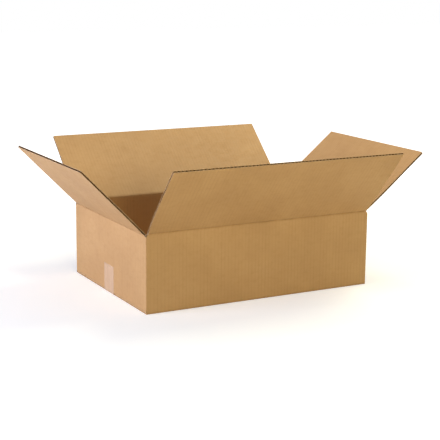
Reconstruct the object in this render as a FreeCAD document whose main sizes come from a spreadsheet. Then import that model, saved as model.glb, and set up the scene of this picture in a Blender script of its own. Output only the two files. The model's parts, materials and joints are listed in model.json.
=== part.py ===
import FreeCAD, Part
import Sketcher
import os

# Open shipping box of single-wall corrugated board, set up from one creased and slotted blank.
# The tube of four panels is closed by a glue tab inside one corner. The bottom flaps are folded in,
# the short pair first, and one strip of clear tape holds the long pair along their seam.
# The four top flaps stand open, each leaning outwards on its own crease.
#
# X runs along the long panels, Y along the short ones and Z up. The origin is the middle of the
# tape's underside, which is the lowest face. The front is at -Y and the left end at -X.
# Every length is in millimetres and every lean is in degrees from upright.

DOCUMENT = "OpenCarton"
SHEET = "Dims"
PARTS_FOLDER = "parts"

# Driving dimensions: alias, value, meaning.
DIMENSIONS = [
    ("inside_length", 508.0, "clear length between the end panels"),
    ("inside_width", 356.0, "clear width between the long panels"),
    ("crease_height", 160.0, "long panel, bottom crease to top crease"),
    ("board", 4.0, "board thickness over both liners"),
    ("liner", 0.4, "thickness of each flat liner"),
    ("medium", 0.4, "fluted medium, measured across the board"),
    ("flute_pitch", 7.8, "crest to crest of the fluted medium"),
    ("flute_glue", 0.9, "half width of the flute tip glued to a liner"),
    ("edge_wall", 0.6, "least wall beside the outermost flute"),
    ("crush_length", 6.0, "solid crushed board beside a top crease"),
    ("crease_gap", 0.2, "running gap on each side of a top crease"),
    ("layer_gap", 0.2, "gap between the two layers of folded flaps"),
    ("flap_gap", 2.0, "gap between the long flaps where they meet"),
    ("short_inset", 2.0, "end of a short flap to the long panel's inner face"),
    ("long_inset", 1.0, "end of a long flap to the end panel's outer face"),
    ("notch_depth", 1.5, "corner slot cut past the short crease"),
    ("side_gap", 0.3, "short flap's end to the folded corner beside it"),
    ("fold_radius", 3.0, "outer radius of a folded upright corner"),
    ("crease_radius", 1.5, "outer radius of a folded bottom crease"),
    ("tab_width", 35.0, "width of the glue tab"),
    ("tab_setback", 6.0, "glue tab's end to the short crease"),
    ("tab_taper", 8.0, "extra setback at the glue tab's free edge"),
    ("seam_setback", 0.5, "raw edge of the glued end panel to the tab's rounded fold"),
    ("tape_width", 48.0, "width of the tape"),
    ("tape_film", 0.1, "thickness of the tape"),
    ("tape_rise", 60.0, "height of the tape on each end panel"),
    ("front_lean", 40.5, "front flap from upright"),
    ("back_lean", 47.5, "back flap from upright"),
    ("left_lean", 44.5, "left flap from upright"),
    ("right_lean", 51.0, "right flap from upright"),
]

# A pair of flute channels has this many flute pitches between its two middles.
HALF_PITCH = 0.5


def d(alias):
    """Name of one driving dimension as an expression reads it."""
    return f"{SHEET}.{alias}"


# Places worked out from the driving dimensions, as expressions.
BOARD = d("board")
BASE = d("tape_film")
INNER_X = f"({d('inside_length')} / 2)"
INNER_Y = f"({d('inside_width')} / 2)"
OUTER_X = f"({INNER_X} + {BOARD})"
OUTER_Y = f"({INNER_Y} + {BOARD})"
CREASE_STEP = f"({BOARD} + {d('layer_gap')})"
LONG_TOP = f"({BASE} + {d('crease_height')})"
SHORT_TOP = f"({LONG_TOP} - {CREASE_STEP})"
SHORT_BOTTOM = f"({BASE} + {CREASE_STEP})"
SHORT_HALF = f"({INNER_Y} - {d('short_inset')})"
SHORT_LENGTH = f"(2 * ({SHORT_HALF} - {d('side_gap')}))"
LONG_LENGTH = f"(2 * ({OUTER_X} - {d('long_inset')}))"
LONG_DEPTH = f"({OUTER_Y} - {d('flap_gap')} / 2)"
SHORT_DEPTH = f"({LONG_DEPTH} + {CREASE_STEP})"
POST_BOTTOM = f"({SHORT_BOTTOM} + {d('notch_depth')})"
POST_HEIGHT = f"({SHORT_TOP} - {SHORT_BOTTOM} - 2 * {d('notch_depth')})"
FOLD = d("fold_radius")
ROLL = d("crease_radius")
CHANNEL_HALF = f"({d('flute_pitch')} * {HALF_PITCH} - {d('flute_glue')})"


def make_sheet(doc):
    """Spreadsheet with one row for each driving dimension."""
    sheet = doc.addObject("Spreadsheet::Sheet", SHEET)
    for row, (alias, value, meaning) in enumerate(DIMENSIONS, start=1):
        sheet.set(f"A{row}", alias)
        sheet.set(f"B{row}", str(value))
        sheet.set(f"C{row}", meaning)
        sheet.setAlias(f"B{row}", alias)
    doc.recompute()
    return sheet


def number(doc, expression):
    """Value of an expression as a plain number."""
    value = doc.getObject(SHEET).evalExpression(expression)
    return float(getattr(value, "Value", value))


def make_body(doc, name):
    """Empty body whose label names its file."""
    body = doc.addObject("PartDesign::Body", name)
    body.Label = name
    return body


def origin_item(body, role):
    """Plane or axis of the body's own origin."""
    return next(item for item in body.Origin.OriginFeatures if item.Role == role)


def new_sketch(body, name, plane, offset="0"):
    """Sketch on one of the body's origin planes, moved along the plane's normal by an expression."""
    sketch = body.newObject("Sketcher::SketchObject", name)
    sketch.AttachmentSupport = [(origin_item(body, plane), "")]
    sketch.MapMode = "FlatFace"
    sketch.setExpression("AttachmentOffset.Base.z", offset)
    return sketch


def pin(sketch, geometry, end, x, y):
    """Fixes one end of a line or arc at two expressions."""
    doc = sketch.Document
    for kind, expression in (("DistanceX", x), ("DistanceY", y)):
        place = number(doc, expression)
        index = sketch.addConstraint(Sketcher.Constraint(kind, -1, 1, geometry, end, place))
        sketch.setExpression(f"Constraints[{index}]", expression)


def curve_ends(point):
    """The ends at which an outline enters and leaves the curve that starts at a point.

    An arc is stored anticlockwise, so one that runs clockwise is entered at its second end.
    """
    clockwise = len(point) == 4 and point[3] < 0
    return (2, 1) if clockwise else (1, 2)


def add_outline(sketch, points):
    """Closed outline through points, each (x, y) or (x, y, radius, turn) in expressions.

    A point with a radius is joined to the next one by an arc of that radius. Its turn is 1 for an
    arc that runs anticlockwise and -1 for one that runs clockwise.
    """
    doc = sketch.Document
    first = sketch.GeometryCount
    count = len(points)
    for index, point in enumerate(points):
        follower = points[(index + 1) % count]
        start = FreeCAD.Vector(number(doc, point[0]), number(doc, point[1]), 0)
        finish = FreeCAD.Vector(number(doc, follower[0]), number(doc, follower[1]), 0)
        if len(point) == 2:
            sketch.addGeometry(Part.LineSegment(start, finish), False)
            continue
        radius = number(doc, point[2])
        chord = finish - start
        height = max(radius ** 2 - (chord.Length / 2) ** 2, 0) ** 0.5
        side = FreeCAD.Vector(-chord.y, chord.x, 0).normalize() * point[3]
        centre = (start + finish) / 2 + side * height
        middle = centre - side * radius
        sketch.addGeometry(Part.Arc(start, middle, finish), False)
    for index, point in enumerate(points):
        geometry = first + index
        before = first + (index - 1) % count
        entry, _ = curve_ends(point)
        _, exit_end = curve_ends(points[index - 1])
        joint = Sketcher.Constraint("Coincident", before, exit_end, geometry, entry)
        sketch.addConstraint(joint)
        pin(sketch, geometry, entry, point[0], point[1])
        if len(point) == 4:
            radius = number(doc, point[2])
            held = sketch.addConstraint(Sketcher.Constraint("Radius", geometry, radius))
            sketch.setExpression(f"Constraints[{held}]", point[2])


def signed(sign, expression):
    """Expression on the positive or the negative side of an axis."""
    return expression if sign > 0 else f"-({expression})"


def pad(body, sketch, length, both_ways=False, reverse=False):
    """Pad of a sketch by an expression, to one side or shared between both."""
    feature = body.newObject("PartDesign::Pad", f"{sketch.Name}_pad")
    feature.Profile = sketch
    feature.Midplane = both_ways
    feature.Reversed = reverse
    feature.setExpression("Length", length)
    sketch.Visibility = False
    body.Document.recompute()
    return feature


def pocket(body, sketch, length, reverse):
    """Pocket of a sketch by an expression, which has to take material away."""
    doc = body.Document
    before = body.Shape.Volume
    feature = body.newObject("PartDesign::Pocket", f"{sketch.Name}_pocket")
    feature.Profile = sketch
    feature.Reversed = reverse
    feature.setExpression("Length", length)
    sketch.Visibility = False
    doc.recompute()
    if not feature.Shape.Volume < before:
        raise RuntimeError(f"{feature.Name} cuts nothing")
    return feature


def creased_panel(sign, outer, inner, bottom, top, reach):
    """Outline of one wall panel with its bottom flap folded in and its top crushed to a mitre."""
    return [
        (signed(sign, outer), f"{top} - {d('crease_gap')}"),
        (signed(sign, inner), f"{top} - {d('crease_gap')} - {BOARD}"),
        (signed(sign, inner), f"{bottom} + {BOARD}"),
        (signed(sign, reach), f"{bottom} + {BOARD}"),
        (signed(sign, reach), bottom),
        (signed(sign, f"{outer} - {ROLL}"), bottom, ROLL, sign),
        (signed(sign, outer), f"{bottom} + {ROLL}"),
    ]


def rectangle(x_low, x_high, y_low, y_high):
    """Plan outline of a rectangle between four expressions."""
    return [(x_low, y_low), (x_high, y_low), (x_high, y_high), (x_low, y_high)]


def outside_fold(side_x, side_y):
    """Plan outline of what lies outside one rounded upright corner."""
    corner = (signed(side_x, OUTER_X), signed(side_y, OUTER_Y))
    long_end = (signed(side_x, f"{OUTER_X} - {FOLD}"), corner[1])
    short_end = (corner[0], signed(side_y, f"{OUTER_Y} - {FOLD}"))
    return [long_end + (FOLD, -side_x * side_y), short_end, corner]


def make_carton_body(doc):
    """Four panels, both pairs of bottom flaps and the glue tab: one folded and glued sheet."""
    body = make_body(doc, "carton_body")

    long_panels = new_sketch(body, "long_panels", "YZ_Plane")
    for sign in (-1, 1):
        reach = f"{d('flap_gap')} / 2"
        add_outline(long_panels, creased_panel(sign, OUTER_Y, INNER_Y, BASE, LONG_TOP, reach))
    pad(body, long_panels, LONG_LENGTH, both_ways=True)

    end_panels = new_sketch(body, "end_panels", "XZ_Plane")
    for sign in (-1, 1):
        reach = f"{OUTER_X} - {SHORT_DEPTH}"
        outline = creased_panel(sign, OUTER_X, INNER_X, SHORT_BOTTOM, SHORT_TOP, reach)
        add_outline(end_panels, outline)
    pad(body, end_panels, f"2 * {SHORT_HALF}", both_ways=True)

    # Three corners are folds. The fourth, at the back right, is the glued seam.
    seam_edge = f"({OUTER_Y} - {FOLD} - {d('seam_setback')})"
    posts = new_sketch(body, "corner_posts", "XY_Plane", POST_BOTTOM)
    for low, high in ((f"-{OUTER_X}", f"-{INNER_X}"), (INNER_X, OUTER_X)):
        add_outline(posts, rectangle(low, high, f"-{OUTER_Y}", f"-{SHORT_HALF}"))
    add_outline(posts, rectangle(f"-{OUTER_X}", f"-{INNER_X}", SHORT_HALF, OUTER_Y))
    add_outline(posts, rectangle(INNER_X, OUTER_X, SHORT_HALF, seam_edge))
    pad(body, posts, POST_HEIGHT)

    folds = new_sketch(body, "corner_folds", "XY_Plane", POST_BOTTOM)
    for side_x, side_y in ((-1, -1), (1, -1), (-1, 1)):
        add_outline(folds, outside_fold(side_x, side_y))
    pocket(body, folds, POST_HEIGHT, reverse=True)

    # The back panel turns into the tab with a rounded fold, beside the end panel's raw edge.
    seam = new_sketch(body, "seam_fold", "XY_Plane", POST_BOTTOM)
    add_outline(seam, [
        (f"{INNER_X} - {FOLD}", OUTER_Y, FOLD, -1),
        (INNER_X, f"{OUTER_Y} - {FOLD}"),
        (INNER_X, seam_edge),
        (OUTER_X, seam_edge),
        (OUTER_X, OUTER_Y),
    ])
    pocket(body, seam, POST_HEIGHT, reverse=True)

    tab = new_sketch(body, "glue_tab", "YZ_Plane", INNER_X)
    tab_edge = f"{INNER_Y} - {d('tab_width')}"
    tab_low = f"{SHORT_BOTTOM} + {d('tab_setback')}"
    tab_high = f"{SHORT_TOP} - {d('tab_setback')}"
    add_outline(tab, [
        (INNER_Y, tab_low),
        (INNER_Y, tab_high),
        (tab_edge, f"{tab_high} - {d('tab_taper')}"),
        (tab_edge, f"{tab_low} + {d('tab_taper')}"),
    ])
    pad(body, tab, BOARD, reverse=True)
    return body


def make_flap(doc, name, along_x, inward, length, depth, hinge, lean, lean_axis):
    """One top flap: a fluted board, mitred along its crease, that leans out on its hinge line.

    It is drawn upright with its outer face on the hinge line, then placed. along_x says which way
    its crease runs, and inward is the sign of the direction from its outer to its inner face.
    """
    body = make_body(doc, name)
    section_plane = "YZ_Plane" if along_x else "XZ_Plane"

    section = new_sketch(body, f"{name}_section", section_plane)
    root = d("crease_gap")
    add_outline(section, [
        ("0", root),
        ("0", depth),
        (signed(inward, BOARD), depth),
        (signed(inward, BOARD), f"{root} + {BOARD}"),
    ])
    pad(body, section, length, both_ways=True)

    # One outer and one inner channel of the flutes, cut from the free edge and repeated.
    pitch = d("flute_pitch")
    unit_width = f"(2 * {CHANNEL_HALF} + {pitch} * {HALF_PITCH})"
    spare = f"({length} - 2 * {d('edge_wall')} - {unit_width})"
    steps = f"floor({spare} / {pitch})"
    first_middle = f"({CHANNEL_HALF} - ({steps} * {pitch} + {unit_width}) / 2)"
    second_middle = f"({first_middle} + {pitch} * {HALF_PITCH})"
    near_liner = d("liner")
    far_liner = f"({BOARD} - {d('liner')})"
    channels = [
        (first_middle, near_liner, f"({far_liner} - {d('medium')})"),
        (second_middle, far_liner, f"({near_liner} + {d('medium')})"),
    ]
    flutes = new_sketch(body, f"{name}_flutes", "XY_Plane", depth)
    for middle, wide_level, narrow_level in channels:
        corners = [
            (f"{middle} - {CHANNEL_HALF}", wide_level),
            (f"{middle} + {CHANNEL_HALF}", wide_level),
            (f"{middle} + {d('flute_glue')}", narrow_level),
            (f"{middle} - {d('flute_glue')}", narrow_level),
        ]
        corners = [(along, signed(inward, across)) for along, across in corners]
        add_outline(flutes, corners if along_x else [(across, along) for along, across in corners])
    cut = pocket(body, flutes, f"{depth} - {d('crush_length')}", reverse=False)

    row = body.newObject("PartDesign::LinearPattern", f"{name}_flute_row")
    row.Originals = [cut]
    row.Direction = (origin_item(body, "X_Axis" if along_x else "Y_Axis"), [""])
    row.setExpression("Length", f"{steps} * {pitch}")
    row.setExpression("Occurrences", f"{steps} + 1")
    body.Tip = row
    doc.recompute()
    if not row.Shape.Volume < cut.Shape.Volume:
        raise RuntimeError(f"{row.Name} cuts nothing")

    body.Placement = FreeCAD.Placement(FreeCAD.Vector(), FreeCAD.Rotation(lean_axis, 1))
    for axis, place in zip("xyz", hinge):
        body.setExpression(f"Placement.Base.{axis}", place)
    body.setExpression("Placement.Rotation.Angle", lean)
    return body


def make_flaps(doc):
    """The two long and the two short top flaps."""
    x_axis = FreeCAD.Vector(1, 0, 0)
    y_axis = FreeCAD.Vector(0, 1, 0)
    long_flaps = [("front_flap", -1, "front_lean"), ("back_flap", 1, "back_lean")]
    short_flaps = [("left_flap", -1, "left_lean"), ("right_flap", 1, "right_lean")]
    flaps = []
    for name, side, lean in long_flaps:
        hinge = ("0", signed(side, OUTER_Y), LONG_TOP)
        flaps.append(make_flap(doc, name, True, -side, LONG_LENGTH, LONG_DEPTH,
                               hinge, d(lean), x_axis * -side))
    for name, side, lean in short_flaps:
        hinge = (signed(side, OUTER_X), "0", SHORT_TOP)
        flaps.append(make_flap(doc, name, False, -side, SHORT_LENGTH, SHORT_DEPTH,
                               hinge, d(lean), y_axis * side))
    return flaps


def make_tape(doc):
    """One strip of tape under the bottom seam, turned up on both end panels."""
    body = make_body(doc, "bottom_tape")
    film = d("tape_film")
    bend = d("long_inset")
    outer_bend = f"({bend} + {film})"
    turn = f"({OUTER_X} - {bend})"
    level = f"({BASE} + {bend})"
    top = f"({BASE} + {d('tape_rise')})"
    strip = new_sketch(body, "tape_strip", "XZ_Plane")
    add_outline(strip, [
        (f"-{OUTER_X}", top),
        (f"-({OUTER_X} + {film})", top),
        (f"-({OUTER_X} + {film})", level, outer_bend, 1),
        (f"-{turn}", "0"),
        (turn, "0", outer_bend, 1),
        (f"{OUTER_X} + {film}", level),
        (f"{OUTER_X} + {film}", top),
        (OUTER_X, top),
        (OUTER_X, level, bend, -1),
        (turn, BASE),
        (f"-{turn}", BASE, bend, -1),
        (f"-{OUTER_X}", level),
    ])
    pad(body, strip, d("tape_width"), both_ways=True)
    return body


def check(doc, bodies):
    """Stops if any object of the document failed, or a sub-part is not one sound solid."""
    for item in doc.Objects:
        if "Invalid" in item.State or "Error" in item.State:
            raise RuntimeError(f"{item.Name} failed: {item.State}")
    for body in bodies:
        shape = body.Shape
        if shape.isNull() or not shape.isValid() or len(shape.Solids) != 1:
            raise RuntimeError(f"{body.Label} is not one sound solid")


def main():
    doc = FreeCAD.newDocument(DOCUMENT)
    make_sheet(doc)
    bodies = [make_carton_body(doc)]
    bodies += make_flaps(doc)
    bodies.append(make_tape(doc))
    doc.recompute()
    check(doc, bodies)
    os.makedirs(PARTS_FOLDER, exist_ok=True)
    for body in bodies:
        body.Shape.exportStep(os.path.join(PARTS_FOLDER, f"{body.Label}.step"))
        box = body.Shape.BoundBox
        print(f"{body.Label}: {len(body.Shape.Faces)} faces, {body.Shape.Volume / 1000:.1f} cm3, "
              f"x {box.XMin:.1f} to {box.XMax:.1f}, y {box.YMin:.1f} to {box.YMax:.1f}, "
              f"z {box.ZMin:.1f} to {box.ZMax:.1f}")


main()
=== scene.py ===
"""Open corrugated cardboard box: its board, its tape and a plain studio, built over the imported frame."""

import json
import logging
import math
from dataclasses import dataclass, field
from enum import Enum
from typing import ClassVar

import bmesh
import bpy
import numpy as np
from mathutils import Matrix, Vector


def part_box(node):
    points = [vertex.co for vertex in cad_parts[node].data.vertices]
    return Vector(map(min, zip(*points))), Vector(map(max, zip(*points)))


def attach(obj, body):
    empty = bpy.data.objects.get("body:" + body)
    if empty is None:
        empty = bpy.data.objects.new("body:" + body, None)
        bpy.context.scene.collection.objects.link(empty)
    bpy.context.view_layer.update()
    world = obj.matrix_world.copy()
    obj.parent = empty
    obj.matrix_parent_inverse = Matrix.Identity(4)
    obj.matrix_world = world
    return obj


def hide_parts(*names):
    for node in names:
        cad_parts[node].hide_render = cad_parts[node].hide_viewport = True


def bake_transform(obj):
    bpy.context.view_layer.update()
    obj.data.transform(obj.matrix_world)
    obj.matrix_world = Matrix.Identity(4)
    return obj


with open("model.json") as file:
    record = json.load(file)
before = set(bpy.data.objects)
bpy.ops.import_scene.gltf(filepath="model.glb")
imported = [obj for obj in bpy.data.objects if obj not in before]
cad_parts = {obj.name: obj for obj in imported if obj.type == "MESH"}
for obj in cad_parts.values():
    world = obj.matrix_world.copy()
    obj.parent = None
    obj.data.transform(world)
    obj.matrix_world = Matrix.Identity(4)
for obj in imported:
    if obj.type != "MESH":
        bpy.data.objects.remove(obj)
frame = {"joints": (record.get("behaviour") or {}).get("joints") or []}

Pair = tuple[float, float]
Triple = tuple[float, float, float]
Colour = tuple[float, float, float, float]
Material = bpy.types.Material
Piece = bpy.types.Object
Socket = bpy.types.NodeSocket

MM = 0.001
QUARTER_TURN = math.pi / 2
# Two uneven numbers that make the sag differ from flute to flute.
SCATTER_RATE = 12.9898
SCATTER_SIZE = 43758.5453
WHITE: Colour = (1.0, 1.0, 1.0, 1.0)
LOG = logging.getLogger("open_carton")


class Face(Enum):
    """The face of the board that a liner makes. The value shifts its flute lines by that many pitches."""

    OUTER = 0.0
    INNER = 0.5


class Paper(Enum):
    """Material slot of a paper sheet: its flat surface, or the cut along its edge."""

    SURFACE = 0
    CUT = 1


def closeness(distance: np.ndarray, reach: float) -> np.ndarray:
    """Bell-shaped closeness to a line.

    Args:
        distance: distance from the line, in metres.
        reach: distance at which the closeness is down to about a third.

    Returns:
        1 on the line, falling smoothly to 0 away from it.
    """
    return np.exp(-((np.asarray(distance, float) / reach) ** 2))


def scatter(number: np.ndarray, shift: float) -> np.ndarray:
    """Share from 0 to 1 that jumps about from one whole number to the next, always in the same way."""
    return np.mod(np.sin(number * SCATTER_RATE + shift) * SCATTER_SIZE, 1.0)


def partway(first: Pair, second: Pair, share: float) -> Pair:
    """Point or direction at a share of the way from a first one to a second."""
    return first[0] + (second[0] - first[0]) * share, first[1] + (second[1] - first[1]) * share


def linear(red: int, green: int, blue: int) -> Colour:
    """Colour for a shader socket.

    Args:
        red: red as an image editor shows it, 0 to 255.
        green: green, 0 to 255.
        blue: blue, 0 to 255.

    Returns:
        The same colour in linear light, with full alpha.
    """

    def channel(value: int) -> float:
        """One channel in linear light, by the usual curve of screens."""
        share = value / 255
        return share / 12.92 if share <= 0.04045 else ((share + 0.055) / 1.055) ** 2.4

    return channel(red), channel(green), channel(blue), 1.0


@dataclass(frozen=True)
class Board:
    """Single-wall corrugated board: two flat liners glued to a fluted medium.

    The liners sag by a different depth over each flute. Steps are lines of vertices for each flute, and
    a regular line is left out where it is closer than line_gap of a step to one that is needed.
    """

    thickness: float = 4.0 * MM
    liner: float = 0.30 * MM
    medium: float = 0.20 * MM
    pitch: float = 7.8 * MM
    sag: float = 0.075 * MM
    sag_least: float = 0.7
    sag_spread: float = 0.5
    liner_steps: int = 4
    medium_steps: int = 8
    line_gap: float = 0.3

    def lines(self, low: float, high: float, steps: int, kept: tuple[float, ...] = ()) -> np.ndarray:
        """Places across the flutes where a sheet has a line of vertices.

        Args:
            low: first place on the blank.
            high: last place on the blank.
            steps: lines for each flute.
            kept: further places that need a line.

        Returns:
            Rising places on the blank, in metres.
        """
        step = self.pitch / steps
        regular = np.arange(math.ceil(low / step), math.floor(high / step) + 1) * step
        fixed = np.array(sorted({low, high, *kept}))
        clear = np.abs(regular[:, None] - fixed[None, :]).min(axis=1) > step * self.line_gap
        return np.sort(np.concatenate([regular[clear], fixed]))

    def sag_at(self, blank: np.ndarray, face: Face) -> np.ndarray:
        """How far a liner sinks between the flute tips that it is glued to.

        Args:
            blank: places across the flutes, on the unfolded blank.
            face: the liner.

        Returns:
            Depth of the sag at each place, in metres. Each flute has a depth of its own.
        """
        phase = blank / self.pitch + face.value
        gain = self.sag_least + self.sag_spread * scatter(np.floor(phase), face.value)
        return self.sag * gain * 0.5 * (1 - np.cos(2 * np.pi * phase))

    def flute_depth(self, blank: np.ndarray, openness: np.ndarray) -> np.ndarray:
        """Depth of the medium below the board's outer face.

        Args:
            blank: places across the flutes, one for each column.
            openness: 1 where the flutes are whole, less where they are crushed, one for each row.

        Returns:
            Depth of the medium's outer surface, row by column.
        """
        reach = (self.thickness - 2 * self.liner - self.medium) / 2
        wave = np.cos(2 * np.pi * blank / self.pitch)
        return self.liner + reach * (1 - openness[:, None] * wave[None, :])


@dataclass(frozen=True)
class Side:
    """One side of the box. Heights and distances are measured from its top crease.

    The lean is the flap's at rest, outwards from upright. blank_middle is the side's middle on the unfolded
    blank, and split is the height at which the folded sheet ends and the flap's own paper starts.
    """

    name: str
    out: Pair
    hinge: Triple
    lean: float
    blank_middle: float
    panel_half: float
    flap_half: float
    flap_depth: float
    split: float

    @property
    def along(self) -> Pair:
        """Direction along the crease in which the blank's own coordinate rises."""
        return -self.out[1], self.out[0]

    @property
    def is_long(self) -> bool:
        """Whether this is the front or the back."""
        return self.out[0] == 0

    def place(self, across: np.ndarray, out: np.ndarray, up: np.ndarray) -> np.ndarray:
        """Points in the row frame.

        Args:
            across: distances along the crease from its middle.
            out: distances outwards from the crease.
            up: heights above the crease.

        Returns:
            One point for each set of the three, with the shape that they broadcast to.
        """
        across, out, up = np.broadcast_arrays(across, out, up)
        return np.stack([
            self.hinge[0] + self.along[0] * across + self.out[0] * out,
            self.hinge[1] + self.along[1] * across + self.out[1] * out,
            self.hinge[2] + up,
        ], axis=-1)

    def direction(self, out: np.ndarray, up: np.ndarray) -> np.ndarray:
        """Directions in the row frame from their outward and upward shares."""
        return np.stack([self.out[0] * out, self.out[1] * out, up], axis=-1)


@dataclass
class Track:
    """Path of a sheet across a crease: places outwards and upwards from the crease, row by row.

    slim is how far each row is drawn in at both ends, or None where the sheet keeps its width.
    """

    out: list[float] = field(default_factory=list)
    up: list[float] = field(default_factory=list)
    into_out: list[float] = field(default_factory=list)
    into_up: list[float] = field(default_factory=list)
    height: list[float] = field(default_factory=list)
    wave: list[float] = field(default_factory=list)
    fold: list[float] = field(default_factory=list)
    slim: np.ndarray | None = None

    def add(self, point: Pair, into: Pair, height: float, wave: float = 1.0, fold: float = 0.0) -> None:
        """Adds one row.

        Args:
            point: place outwards and upwards from the crease.
            into: direction from the sheet's own surface into its thickness.
            height: height of the row on the unfolded blank.
            wave: share of the washboard or flutes that shows at this row.
            fold: share of the painted shade of a fold at this row.
        """
        self.out.append(point[0])
        self.up.append(point[1])
        self.into_out.append(into[0])
        self.into_up.append(into[1])
        self.height.append(height)
        self.wave.append(wave)
        self.fold.append(fold)

    def turn(self, centre: Pair, radius: float, angles: np.ndarray, inwards: bool, height: float) -> None:
        """Adds the rows of a rounded fold, where no washboard shows and the painted fold shade is full.

        Args:
            centre: centre of the fold.
            radius: radius of the sheet's own surface.
            angles: direction from the centre at each row, in radians from outwards towards up.
            inwards: whether the sheet's thickness lies towards the centre.
            height: height of the fold on the unfolded blank.
        """
        sign = -1 if inwards else 1
        first = angles[0]
        for angle in angles:
            ray = (math.cos(angle), math.sin(angle))
            point = (centre[0] + radius * ray[0], centre[1] + radius * ray[1])
            self.add(point, (sign * ray[0], sign * ray[1]), height + radius * abs(angle - first), 0.0, 1.0)

    def slimmed(self, across: np.ndarray) -> np.ndarray:
        """Places along the crease, drawn in where the sheet narrows.

        Args:
            across: distances along the crease from its middle, one for each column.

        Returns:
            The distances, row by column.
        """
        if self.slim is None:
            return across[None, :]
        half = np.abs(across).max()
        return across[None, :] * (1 - self.slim[:, None] / half)


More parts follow.
